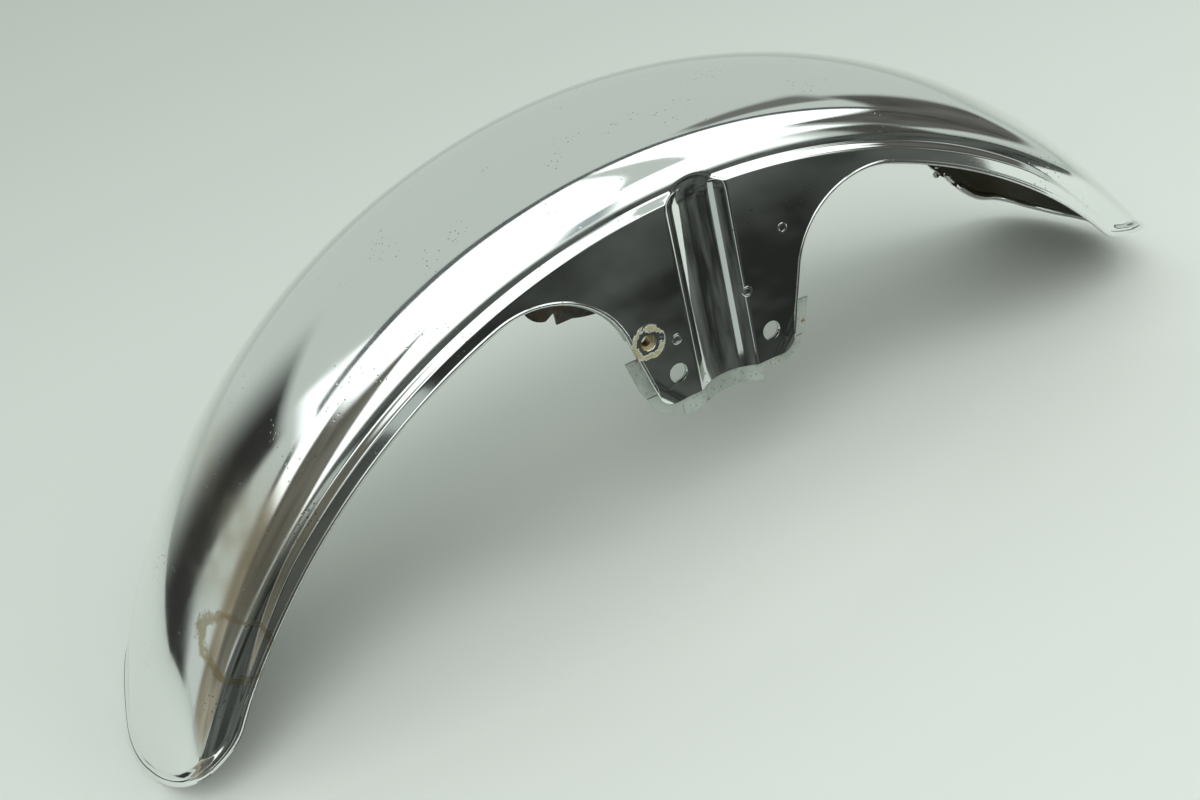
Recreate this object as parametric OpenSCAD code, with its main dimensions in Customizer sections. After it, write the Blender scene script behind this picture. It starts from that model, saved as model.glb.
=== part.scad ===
// Front mudguard of a small motorcycle: a deep chromed pressing with fork plates.
// Millimetres. +X points forward, +Z up, +Y to the left. The origin lies between the two
// fork bolts, on the outer face of the right-hand fork plate.

/* [Sheet] */
// Thickness of the pressed sheet
sheet = 1.2; // [0.8:0.1:1.6]

/* [Crown] */
// Width over the skirts, just above the ledge
skirt_w = 130.4; // [120:0.2:134]
// How much larger the top line's radius is than the rim's
crown_lift = 16.5; // [11:0.5:22]
// Height of the crown's own axis above the wheel axle
crown_up = 22; // [18:0.5:26]
// Radius of the crown across its width
arch_r = 146; // [130:1:170]
// Radius where the crown turns down into the skirt
shoulder_r = 13; // [10:0.5:16]

/* [Ledge, band and rolled lip] */
// Width over the bands and the fork plates
band_w = 136; // [134:0.2:138]
// Radius of the mudguard's lower edge about the wheel axle
rim_r = 300; // [292:0.5:308]
// Height of the ledge's upper edge above that lower edge
ledge_up = 10; // [8:0.5:12]
// Height of the band's upper edge above that lower edge
band_up = 7; // [5:0.5:8]
// Radius of the rolled lip
lip_r = 1.6; // [1.2:0.1:1.8]

/* [Trimmed ends] */
// Slope of the rear end's trim, as its square line leans back from upright
rear_lean = 36.6; // [32:0.1:40]
// How far the rear trim comes inside the rim's radius
rear_short = 21.4; // [18:0.2:26]
// Slope of the front end's trim, as its square line leans forward from upright
front_lean = 31; // [27:0.1:34]
// How far the front trim comes inside the rim's radius
front_short = 15; // [12:0.2:18]
// Width of the raised border along each trimmed end
border_w = 5.8; // [4:0.2:8]
// Height of that border above the crown
border_h = 1; // [0.8:0.1:1.6]

/* [Fork plates] */
// Height of the plates' lower edge above the wheel axle
plate_low = 215; // [212:0.5:218]
// Half the plates' width at the lower edge, measured to the sharp corner
plate_half = 35.2; // [33:0.2:38]
// Lean of the plates' side edges
plate_lean = 14.9; // [12:0.1:18]
// Radius of the lower corners
corner_r = 8; // [6:0.5:10]
// Radius of the large hollow between plate and rim
hollow_r = 43; // [40:0.5:46]
// Radius of the thin rolled edge along the hollows
edge_r = 0.9; // [0.8:0.05:1]

/* [Fork recess] */
// Radius of the upright recess that clears the fork leg
recess_r = 22; // [20:0.5:25]
// Depth of the recess behind the plate's face
recess_depth = 6; // [5:0.5:8]
// Height over the rim where the recess begins to close
recess_rise = 2; // [0:0.5:4]

/* [Fastening] */
// Distance between the two fork bolts
bolt_gap = 50; // [48:0.5:52]
// Radius of the bolt holes
bolt_hole_r = 4.5; // [4.2:0.1:4.8]
// Height of the bolt holes above the wheel axle
bolt_up = 228.6; // [226:0.2:231]
// Radius of the small stay hole
stay_hole_r = 3.7; // [3.4:0.1:3.9]
// Stay hole behind the centre line
stay_back = 36.3; // [34:0.1:38]
// Height of the stay hole above the wheel axle
stay_up = 248.8; // [246:0.2:251]
// Radius of the nut's bore at the crests of its thread
nut_bore_r = 2.5; // [2.4:0.05:2.6]
// Width across the nut's flats
nut_flats = 10; // [9.5:0.5:10.5]
// Thickness of the nut
nut_h = 5; // [4:0.5:6]

/* [Stiffening plates] */
// How far the corner tabs reach past the fork plate
tab_out = 4.8; // [3.6:0.2:6]
// How far the side tabs reach past the fork plate
side_tab_out = 6.2; // [5:0.2:7]
// How far the middle tab reaches below the fork plate
middle_tab_out = 9; // [7.6:0.2:10]
// Ends of the middle tab behind and in front of the centre line
middle_tab_back = 25.3; // [23:0.1:26]
middle_tab_front = 16.5; // [15:0.1:18]
// Ends of the rear side tab above the fork plate's lower edge
rear_tab_low = 7.6; // [7:0.2:9]
rear_tab_high = 27.5; // [24:0.5:32]
// Ends of the front side tab above the fork plate's lower edge
front_tab_low = 5.3; // [5:0.1:7]
front_tab_high = 21.5; // [18:0.5:26]
// Height of the corner tabs above the fork plate's lower edge
rear_corner_up = 6.8; // [5:0.2:8]
front_corner_up = 4.3; // [3:0.1:6]
// Width of the notches beside the middle tab
notch_w = 6.5; // [4:0.5:8]
// How far the stiffening plate shows past the hollows
peep = 1; // [0.4:0.1:1.6]
// How far the plates' upper edge lies below the rim's top
stiff_drop = 16; // [10:0.5:20]

/* [Hidden] */

skirt_half = skirt_w / 2;
band_half = band_w / 2;
crown_r = rim_r + crown_lift;
ledge_r = rim_r + ledge_up;
band_r = rim_r + band_up;
rear_cut = rim_r - rear_short;
front_cut = rim_r - front_short;
recess_top = rim_r + recess_rise;
stiff_top = rim_r - stiff_drop;
stiff_low = plate_low - middle_tab_out;
wide = 1.5 * band_w;
far = 1.4 * rim_r;
fit_gap = 0.1;

// the crown's section: one wide arc and two shoulder arcs, in radius and width
arch_mid = crown_r - arch_r;
shoulder_y = skirt_half - shoulder_r;
shoulder_rise = sqrt(pow(arch_r - shoulder_r, 2) - pow(shoulder_y, 2));
shoulder_at = arch_mid + shoulder_rise;
section_low = 0.8 * rim_r;

// hollow circles touch the rim from inside and the plates' leaning edges from outside
hollow_way = rim_r + 0.8 - hollow_r;
edge_way = plate_half * cos(plate_lean) - plate_low * sin(plate_lean);
hollow_turn = plate_lean + asin((edge_way + hollow_r) / hollow_way);
hollow_up = hollow_way * cos(hollow_turn);
hollow_x = hollow_way * sin(hollow_turn);

recess_y = band_half - recess_depth + recess_r;
corner_up = plate_low + corner_r;
corner_x = plate_half + corner_r * tan(plate_lean) - corner_r / cos(plate_lean);

chrome = [0.80, 0.81, 0.82];
dull_steel = [0.62, 0.62, 0.58];
yellow_zinc = [0.72, 0.62, 0.38];

// moves the wheel axle's frame to the part's own frame
module in_part_frame() {
    translate([0, band_half, -bolt_up]) children();
}

// turns a side view, drawn in X and Z, into a slab from low_y to high_y
module side_slab(low_y, high_y) {
    translate([0, high_y, 0]) rotate([90, 0, 0]) linear_extrude(high_y - low_y) children();
}

// revolves a section, drawn in radius and width, about a line along Y
module about_axle(up = 0) {
    translate([0, 0, up]) rotate([90, 0, 0]) rotate_extrude($fn = 240) children();
}

// solid under the crown's surface; a positive inset shrinks it, a negative one swells it
module crown_section(inset) {
    reach = 1.4;
    intersection() {
        translate([arch_mid, 0]) circle(arch_r - inset, $fn = 240);
        polygon([[arch_mid, 0],
            [arch_mid + shoulder_rise * reach, shoulder_y * reach],
            [arch_mid + shoulder_rise * reach, -shoulder_y * reach]]);
    }
    for (side = [-1, 1])
        translate([shoulder_at, side * shoulder_y]) circle(shoulder_r - inset, $fn = 64);
    translate([section_low, inset - skirt_half])
        square([shoulder_at - section_low, skirt_w - 2 * inset]);
}

// side view of what is left between the two trimmed ends, moved in by an amount
module kept_side(trim_in = 0) {
    join_x = rim_r / 2;
    join_up = 0.6 * rim_r;
    rear_z = (rear_cut + trim_in - join_x * sin(rear_lean)) / cos(rear_lean);
    front_z = (front_cut + trim_in - join_x * sin(front_lean)) / cos(front_lean);
    run = far;
    polygon([
        [-join_x, rear_z],
        [-join_x, join_up],
        [join_x, join_up],
        [join_x, front_z],
        [join_x + run * cos(front_lean), front_z - run * sin(front_lean)],
        [far, far],
        [-far, far],
        [-join_x - run * cos(rear_lean), rear_z - run * sin(rear_lean)]]);
}

// side view of a strip of the given width along both trimmed ends
module end_strip(strip_w) {
    difference() {
        kept_side();
        kept_side(strip_w);
    }
}

// part of a side view that lies above the ledge
module above_ledge() {
    difference() {
        children();
        circle(ledge_r - 1, $fn = 240);
    }
}

// layer of the crown between two insets, limited to a side view
module crown_layer(outer, inner) {
    intersection() {
        about_axle(crown_up) difference() {
            crown_section(outer);
            crown_section(inner);
        }
        side_slab(-wide, wide) above_ledge() children();
    }
}

// ledge and band of one side, in radius and width
module band_section() {
    shelf = 4.5;
    polygon([
        [ledge_r, skirt_half - shelf],
        [ledge_r, skirt_half],
        [band_r, band_half],
        [rim_r + lip_r, band_half - 0.4],
        [rim_r + lip_r, band_half - 0.4 - sheet],
        [band_r - 0.5, band_half - sheet],
        [ledge_r - 1.3, skirt_half - 0.8],
        [ledge_r - 1.3, skirt_half - shelf]]);
}

module both_bands() {
    for (side = [0, 1]) mirror([0, side, 0]) about_axle() band_section();
}

// rolled lip along the rim, a little proud of the band and left out between the two hollows
module rim_lips() {
    spread = far * tan(hollow_turn);
    proud = 0.4;
    difference() {
        for (side = [-1, 1])
            about_axle() translate([rim_r + lip_r, side * (band_half - lip_r + proud)])
                circle(lip_r, $fn = 32);
        side_slab(-wide, wide) polygon([[0, 0], [spread, far], [-spread, far]]);
    }
}

// thick edge along both trimmed ends
module end_lips() {
    lip_w = 2.4;
    crown_layer(-border_h - 0.5, sheet + 0.6) end_strip(lip_w);
    for (side = [0, 1]) mirror([0, side, 0]) intersection() {
        about_axle() translate([rim_r, band_half - 2.6]) square([ledge_r - rim_r, 3.2]);
        side_slab(0, wide) end_strip(lip_w);
    }
}

module end_borders() {
    crown_layer(-border_h, sheet / 2) end_strip(border_w);
}

// side view of a fork plate: a lobe with round corners that widens up to the rim
module plate_side(grow = 0, hollow_in = 0) {
    beyond = 1.09 * rim_r / (rim_r - hollow_r);
    low = plate_low - grow;
    half = plate_half + grow * (1 / cos(plate_lean) - tan(plate_lean));
    slope = tan(plate_lean);
    r = corner_r + grow;
    shoulder_up = hollow_up + hollow_r * sin(plate_lean);
    shoulder_x = half + (shoulder_up - low) * slope;
    touch = [corner_x + r * cos(plate_lean), corner_up - r * sin(plate_lean)];
    difference() {
        union() {
            polygon([
                [-corner_x, low],
                [corner_x, low],
                touch,
                [shoulder_x, shoulder_up],
                [hollow_x, hollow_up],
                [hollow_x * beyond, hollow_up * beyond],
                [0, band_r + hollow_r],
                [-hollow_x * beyond, hollow_up * beyond],
                [-hollow_x, hollow_up],
                [-shoulder_x, shoulder_up],
                [-touch[0], touch[1]]]);
            for (side = [-1, 1])
                translate([side * corner_x, corner_up]) circle(r, $fn = 64);
        }
        for (side = [-1, 1])
            translate([side * hollow_x, hollow_up]) circle(hollow_r - hollow_in, $fn = 120);
    }
}

module fork_plate() {
    side_slab(-band_half, sheet - band_half) intersection() {
        plate_side();
        circle(band_r - 0.3, $fn = 240);
    }
}

// thin rolled edge along one hollow and down the leaning edge, outside the plate's inner face
module plate_edge() {
    step = 0.1;
    lap = 1.5;
    start_turn = 90 - hollow_turn;
    sweep = 90 + hollow_turn - plate_lean;
    run_x = hollow_x - hollow_r * cos(plate_lean);
    run_up = hollow_up + hollow_r * sin(plate_lean);
    run = (run_up - corner_up) / cos(plate_lean) - 1;
    in_plane = edge_r * 0.6;
    y = sheet - edge_r - 2 * step - band_half;
    translate([hollow_x, y, hollow_up]) rotate([90, -start_turn, 0])
        rotate_extrude(angle = sweep, $fn = 120) translate([hollow_r + in_plane, 0]) circle(edge_r, $fn = 32);
    translate([run_x - in_plane * cos(plate_lean), y, run_up + in_plane * sin(plate_lean)])
        rotate([0, 180 + plate_lean, 0]) translate([0, 0, -lap])
            cylinder(r = edge_r + step, h = run + lap, $fn = 32);
}

// rod with a round upper end that stands for the fork leg; its wall is the recess
module fork_form(swell, low) {
    translate([0, -recess_y, low]) cylinder(r = recess_r + swell, h = recess_top - low, $fn = 96);
    translate([0, -recess_y, recess_top]) sphere(recess_r + swell, $fn = 96);
}

// side view of a block as wide as the recess and its wall
module recess_side(low, top) {
    translate([-2 * recess_r, low]) square([4 * recess_r, top - low]);
}

module recess_wall() {
    intersection() {
        fork_form(sheet, plate_low + 1);
        union() {
            side_slab(-band_half, 0) recess_side(stiff_low, recess_top);
            side_slab(sheet / 2 - skirt_half, 0) recess_side(recess_top - 1, recess_top + 2 * recess_r);
        }
    }
}

module bolt_holes() {
    for (side = [-1, 1]) translate([side * bolt_gap / 2, 0, bolt_up])
        rotate([90, 0, 0]) cylinder(r = bolt_hole_r, h = wide, center = true, $fn = 64);
}

module stay_hole() {
    translate([-stay_back, -band_half, stay_up])
        rotate([90, 0, 0]) cylinder(r = stay_hole_r, h = 20, center = true, $fn = 48);
}

module mudguard() {
    color(chrome) in_part_frame() difference() {
        union() {
            crown_layer(0, sheet) kept_side();
            intersection() {
                union() {
                    both_bands();
                    rim_lips();
                }
                side_slab(-wide, wide) kept_side();
            }
            end_borders();
            end_lips();
            for (side = [0, 1]) mirror([0, side, 0]) {
                fork_plate();
                recess_wall();
                for (end = [0, 1]) mirror([end, 0, 0]) plate_edge();
            }
        }
        for (side = [0, 1]) mirror([0, side, 0]) fork_form(0, plate_low - 20);
        bolt_holes();
        stay_hole();
    }
}

// side view of a stiffening plate; its edge is cut into tabs that stand out past the lobe
module stiffener_side() {
    slope = tan(plate_lean);
    side_tabs = [
        [-1, plate_low + rear_tab_low, plate_low + rear_tab_high],
        [1, plate_low + front_tab_low, plate_low + front_tab_high]];
    corner_tabs = [[-1, plate_low + rear_corner_up], [1, plate_low + front_corner_up]];
    middle_tab = [-middle_tab_back, middle_tab_front];
    side_lap = corner_r / 2;
    difference() {
        union() {
            intersection() {
                plate_side(0, peep);
                translate([-hollow_x, stiff_low]) square([2 * hollow_x, stiff_top - stiff_low]);
            }
            intersection() {
                plate_side(tab_out);
                union() for (tab = corner_tabs) translate([tab[0] < 0 ? -hollow_x : 0, stiff_low])
                    square([hollow_x, tab[1] - stiff_low]);
            }
            for (tab = side_tabs) polygon([
                [tab[0] * (plate_half - side_lap), tab[1]],
                [tab[0] * (plate_half + (tab[1] - plate_low) * slope + side_tab_out - 1), tab[1]],
                [tab[0] * (plate_half + (tab[1] + 3 - plate_low) * slope + side_tab_out), tab[1] + 3],
                [tab[0] * (plate_half + (tab[2] - plate_low) * slope + side_tab_out), tab[2]],
                [tab[0] * (plate_half - side_lap), tab[2]]]);
            translate([middle_tab[0], stiff_low])
                square([middle_tab[1] - middle_tab[0], middle_tab_out + 3]);
        }
        // notches between the corner tabs and the middle tab
        polygon([
            [middle_tab[0] - notch_w, stiff_low - 1],
            [middle_tab[0], stiff_low - 1],
            [middle_tab[0], plate_low - 0.5 * notch_w],
            [middle_tab[0] - 0.1 * notch_w, plate_low - 0.3 * notch_w],
            [middle_tab[0] - notch_w, plate_low - 0.8 * notch_w]]);
        polygon([
            [middle_tab[1], stiff_low - 1],
            [middle_tab[1] + notch_w, stiff_low - 1],
            [middle_tab[1] + notch_w, plate_low - 0.7 * notch_w],
            [middle_tab[1] + 0.8 * notch_w, plate_low - 0.1 * notch_w],
            [middle_tab[1], plate_low - 0.7 * notch_w]]);
    }
}

module stiffener() {
    back = sheet - band_half;
    intersection() {
        difference() {
            union() {
                side_slab(back, back + sheet) stiffener_side();
                intersection() {
                    fork_form(2 * sheet + fit_gap, stiff_low);
                    side_slab(back, 0) recess_side(stiff_low, stiff_top);
                }
            }
            fork_form(sheet + fit_gap, plate_low - 20);
            bolt_holes();
        }
        side_slab(back, 0) translate([-wide, 0]) square([2 * wide, stiff_top]);
    }
}

module stiffener_right() {
    color(dull_steel) in_part_frame() difference() {
        stiffener();
        stay_hole();
    }
}

module stiffener_left() {
    color(dull_steel) in_part_frame() mirror([0, 1, 0]) stiffener();
}

module stay_nut() {
    color(yellow_zinc) in_part_frame()
        translate([-stay_back, 2 * sheet - band_half, stay_up]) rotate([-90, 0, 0]) difference() {
            cylinder(r = nut_flats / 2 / cos(30), h = nut_h, $fn = 6);
            translate([0, 0, -1]) cylinder(r = nut_bore_r, h = nut_h + 2, $fn = 48);
        }
}

mudguard();
stiffener_right();
stiffener_left();
stay_nut();
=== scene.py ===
import bmesh
import bpy
import numpy as np
from mathutils import Matrix, Vector


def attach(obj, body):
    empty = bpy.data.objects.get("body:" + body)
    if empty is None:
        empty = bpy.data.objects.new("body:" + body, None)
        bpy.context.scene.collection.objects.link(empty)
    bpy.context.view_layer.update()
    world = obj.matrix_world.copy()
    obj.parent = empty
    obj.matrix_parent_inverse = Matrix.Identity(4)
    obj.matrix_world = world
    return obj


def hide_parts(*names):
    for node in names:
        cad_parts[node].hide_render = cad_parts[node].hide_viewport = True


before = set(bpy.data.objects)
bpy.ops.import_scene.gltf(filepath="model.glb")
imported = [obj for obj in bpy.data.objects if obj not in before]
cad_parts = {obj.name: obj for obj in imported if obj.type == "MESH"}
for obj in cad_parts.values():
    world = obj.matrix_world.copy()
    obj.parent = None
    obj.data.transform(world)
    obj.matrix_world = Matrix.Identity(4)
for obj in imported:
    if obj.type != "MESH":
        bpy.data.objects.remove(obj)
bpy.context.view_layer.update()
print("frame loaded")

# All shapes are worked out in millimetres about the wheel axle (X forward, Z up), then moved
# into the part's own frame in metres.
axleToPart = np.array([0.0, 68.0, -228.6])


def toPart(points):
    return (points + axleToPart) / 1000.0


def smoothStep(low, high, value):
    # 0 below low, 1 above high, and 3t^2 - 2t^3 between them
    t = np.clip((value - low) / (high - low), 0.0, 1.0)
    return t * t * (3.0 - 2.0 * t)


def softMin(a, b, width):
    # the smaller of two values, with the corner between them rounded over a width
    h = np.clip(0.5 + 0.5 * (b - a) / width, 0.0, 1.0)
    return b + (a - b) * h - width * h * (1.0 - h)


def unit(vectors):
    return vectors / np.maximum(np.linalg.norm(vectors, axis=-1, keepdims=True), 1e-9)


def steps(*runs):
    # positions from 0 to 1 made of runs of equal steps, each given as (step, count)
    sizes = np.concatenate([np.full(count, step) for step, count in runs])
    at = np.concatenate([[0.0], np.cumsum(sizes)])
    return at / at[-1]


def gridFaces(index):
    # the four-cornered cells of a grid of point numbers
    return np.stack([index[:-1, :-1], index[1:, :-1], index[1:, 1:], index[:-1, 1:]], -1)


def newObject(name, data):
    made = bpy.data.objects.new(name, data)
    bpy.context.scene.collection.objects.link(made)
    return made


def meshFromArrays(name, points, faces, slots=None):
    mesh = bpy.data.meshes.new(name)
    mesh.from_pydata(toPart(points).tolist(), [], faces)
    if slots is not None:
        mesh.polygons.foreach_set("material_index", slots.astype(np.int32))
    mesh.polygons.foreach_set("use_smooth", np.ones(len(mesh.polygons), dtype=bool))
    mesh.update()
    return newObject(name, mesh)


# The pressed guard: one sheet from the right-hand rim over the crown to the left-hand rim
guard = {
    "sheet": 1.2,
    "crownRadius": 316.5,       # of the top line, about the crown's own axis
    "crownUp": 22.0,            # that axis above the axle
    "archRadius": 146.0,        # across the top of the crown
    "archHalf": 16.0,           # degrees of that arc on each side of the middle
    "endSoftening": 7.5,        # degrees less of it at the ends
    "softening": (36, 57),      # degrees round the axle over which that comes in
    "cornerFullness": 0.80,     # how far the shoulder fills its corner
    "skirtLean": 8.0,           # degrees, just above the ledge
    "skirtHalf": 65.2,
    "rimRadius": 300.0,
    "bandTop": 6.0,             # the plain part of the band, up from the rim
    "ledgeFrom": 306.5,
    "ledgeTop": 310.0,
    "bandLift": 2.8,            # how far the band stands out from the skirt
    "ledgeAt": 8.5,             # middle of the ledge, from the rim
    "ledgeSoft": 1.7,
    "endLift": 1.1,             # the same three at the trimmed ends
    "endLedgeAt": 4.6,
    "liftRun": (4, 60),         # from the end, where the lift changes from one to the other
    "ledgeRun": (12, 80),
    "borderCorner": 2.5,        # rounding between the rim's ledge and the end's
    "rearEnd": (58.1, 9.2, 1.9, 1.9),       # rim angle, extra at the middle, two roundnesses
    "frontEnd": (49.2, 11.1, 1.35, 1.35),
    "frontEndLeft": (50.3, 10.0, 2.9, 2.9),
    "girthAt": 1.0,             # radians round the axle where the ends' girth is measured
    "plateLow": 215.0,
    "plateHalf": 35.2,
    "plateLean": 14.9,
    "cornerRadius": 8.0,
    "hollowUp": 242.7,
    "hollowX": 86.9,
    "hollowRadius": 43.0,
    "hollowTighter": 0.8,       # less radius than that at the rim
    "hollowTightFrom": 45.0,
    "recessRadius": 22.0,
    "recessDepth": 6.0,
    "recessTop": 302.0,
    "recessSoft": 1.0,
    "recessReach": (26, 322),   # it ends within this half width and height
    "cornerBulge": 0.45,        # swelling of the plates' lower corners
    "bulgeWay": (0.75, 0.66),   # across a corner: outwards and down
    "bulgeInset": 1.6,
    "bulgeBelow": 238,
    "turning": (101.4, 190.0),  # X where the columns go from upright to radial
    # runs of columns in millimetres of X, each as (from, to, step)
    "plateColumns": ((0, 9.6, 1.6), (10.4, 18.6, 0.5), (19.4, 26, 1.3), (27, 46.5, 1.0)),
    "hollowColumns": (48, 1.0, 2.5),        # from, short of the rim's start, step
    "endColumns": (0, 11.5, 0.85),          # from the trimmed end
    "bandColumns": (13.5, 2.0, 3.9),        # from, short of the hollow, step
    # runs of rows, each as (relative step, count)
    "lowerRows": ((1.4, 9), (2.6, 23), (1.3, 13)),
    "ledgeRows": 8,
    "shoulderRows": ((0.55, 9), (0.9, 6), (1.7, 10)),
    "archRows": ((3.4, 12),),
    "gather": (3.0, 60.0),      # how loosely rows gather along the plate's edge: plates, hollow
    "gatherRun": (44, 62),
    "creaseAngle": 40,
}


def plateCorner(g):
    lean = np.radians(g["plateLean"])
    r = g["cornerRadius"]
    x = g["plateHalf"] + r * np.tan(lean) - r / np.cos(lean)
    return x, g["plateLow"] + r, r, lean


def plateLowerEdge(x, g):
    # height of the plate's lower edge over its width: flat, corner arc, leaning line, hollow arc
    cornerX, cornerZ, r, lean = plateCorner(g)
    touchX, touchZ = cornerX + r * np.cos(lean), cornerZ - r * np.sin(lean)
    ax = np.abs(x)
    corner = cornerZ - np.sqrt(np.clip(r * r - (ax - cornerX) ** 2, 0, None))
    leaning = touchZ + (ax - touchX) / np.tan(lean)
    rimX = g["hollowX"] * g["rimRadius"] / np.hypot(g["hollowX"], g["hollowUp"])
    towardRim = np.clip((ax - g["hollowTightFrom"]) / (rimX - g["hollowTightFrom"]), 0, 1)
    hollowR = g["hollowRadius"] - g["hollowTighter"] * towardRim
    hollow = g["hollowUp"] + np.sqrt(np.clip(hollowR**2 - (ax - g["hollowX"]) ** 2, 0, None))
    hollowStart = g["hollowX"] - g["hollowRadius"] * np.cos(lean)
    z = np.where(ax < cornerX, g["plateLow"], corner)
    z = np.where(ax > touchX, leaning, z)
    z = np.where(ax > hollowStart, hollow, z)
    rim = np.sqrt(np.clip(g["rimRadius"] ** 2 - ax**2, 0, None))
    return np.where(ax > rimX, rim, np.minimum(z, rim)), rimX


def shoulderCurve(ledgeOwn, turn, t, g):
    # a cubic between the ledge and the crown's wide arc, in radius about the crown's axis and half
    # width; its handles lie on the two end tangents, and run most of the way to where they cross
    lean = np.radians(g["skirtLean"])
    topR = g["crownRadius"] - g["archRadius"] + g["archRadius"] * np.cos(turn)
    topY = g["archRadius"] * np.sin(turn)
    # crossing of the two tangents: top + a (-sin, cos) = ledge + b (cos, -sin)
    gapR, gapY = topR - ledgeOwn, g["skirtHalf"] - topY
    across = np.cos(lean) * np.cos(turn) - np.sin(lean) * np.sin(turn)
    b = (gapR * np.cos(turn) - gapY * np.sin(turn)) / across
    a = (gapY - b * np.sin(lean)) / np.cos(turn)
    full = g["cornerFullness"]
    lowR, lowY = ledgeOwn + full * b * np.cos(lean), g["skirtHalf"] - full * b * np.sin(lean)
    highR, highY = topR - full * a * np.sin(turn), topY + full * a * np.cos(turn)
    w0, w1, w2, w3 = (1 - t) ** 3, 3 * t * (1 - t) ** 2, 3 * t * t * (1 - t), t**3
    return (w0 * ledgeOwn + w1 * lowR + w2 * highR + w3 * topR,
            w0 * g["skirtHalf"] + w1 * lowY + w2 * highY + w3 * topY)


def recessHalfWidth(x, z, g):
    # half width over the recess: an upright round bar with a ball on top, seen as a depth
    centre = g["skirtHalf"] + g["bandLift"] - g["recessDepth"] + g["recessRadius"]
    above = np.maximum(z - g["recessTop"], 0.0)
    inside = g["recessRadius"] ** 2 - x**2 - above**2
    return centre - np.sqrt(np.clip(inside, 0.0, None))


def guardColumns(g):
    # columns: by X over the fork plates, by angle beyond them; the outer ones are given as shares
    # of the way from the plates to the end
    _, rimX = plateLowerEdge(np.array([0.0]), g)
    start, short, step = g["hollowColumns"]
    inner = np.concatenate([np.arange(*run) for run in g["plateColumns"]]
                           + [np.arange(start, rimX - short, step), [rimX]])
    inner = np.concatenate([-inner[:0:-1], inner])
    startAngle = np.arcsin(rimX / g["rimRadius"])
    start, short, step = g["bandColumns"]
    outer = {}
    for side, end in ((-1, "rearEnd"), (1, "frontEnd")):
        length = g["rimRadius"] * (np.radians(g[end][0]) - startAngle)
        fromEnd = np.concatenate([np.arange(*g["endColumns"]),
                                  np.arange(start, length - short, step)])
        outer[side] = 1.0 - fromEnd[::-1] / length
    return inner, startAngle, outer


def endAngle(side, share, left, g):
    # rounded tongue: rim angle + extra (1 - share^n)^(1/m), share 1 at the rim, 0 at the middle
    key = "rearEnd" if side < 0 else ("frontEndLeft" if left else "frontEnd")
    rimAngle, extra, n, m = g[key]
    return np.radians(rimAngle + extra * (1 - share**n) ** (1 / m))


def rowShares(lower, ledge, shoulder, arch, g):
    # how far each row lies from the middle, 1 at the rim, measured along the trimmed ends
    endTurn = np.radians(g["archHalf"] - g["endSoftening"])
    endOwn = np.hypot(g["ledgeTop"] * np.sin(g["girthAt"]),
                      g["ledgeTop"] * np.cos(g["girthAt"]) - g["crownUp"])
    ownAt, wideAt = shoulderCurve(endOwn, endTurn, np.concatenate([[0.0], shoulder]), g)
    along = np.cumsum(np.hypot(np.diff(ownAt), np.diff(wideAt)))
    toLedge = g["ledgeTop"] - g["rimRadius"]
    girth = np.concatenate([g["bandTop"] * lower, ledge - g["rimRadius"], toLedge + along,
                            toLedge + along[-1] + g["archRadius"] * endTurn * arch])
    return np.clip(1.0 - girth / girth[-1], 0.0, 1.0)


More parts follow.
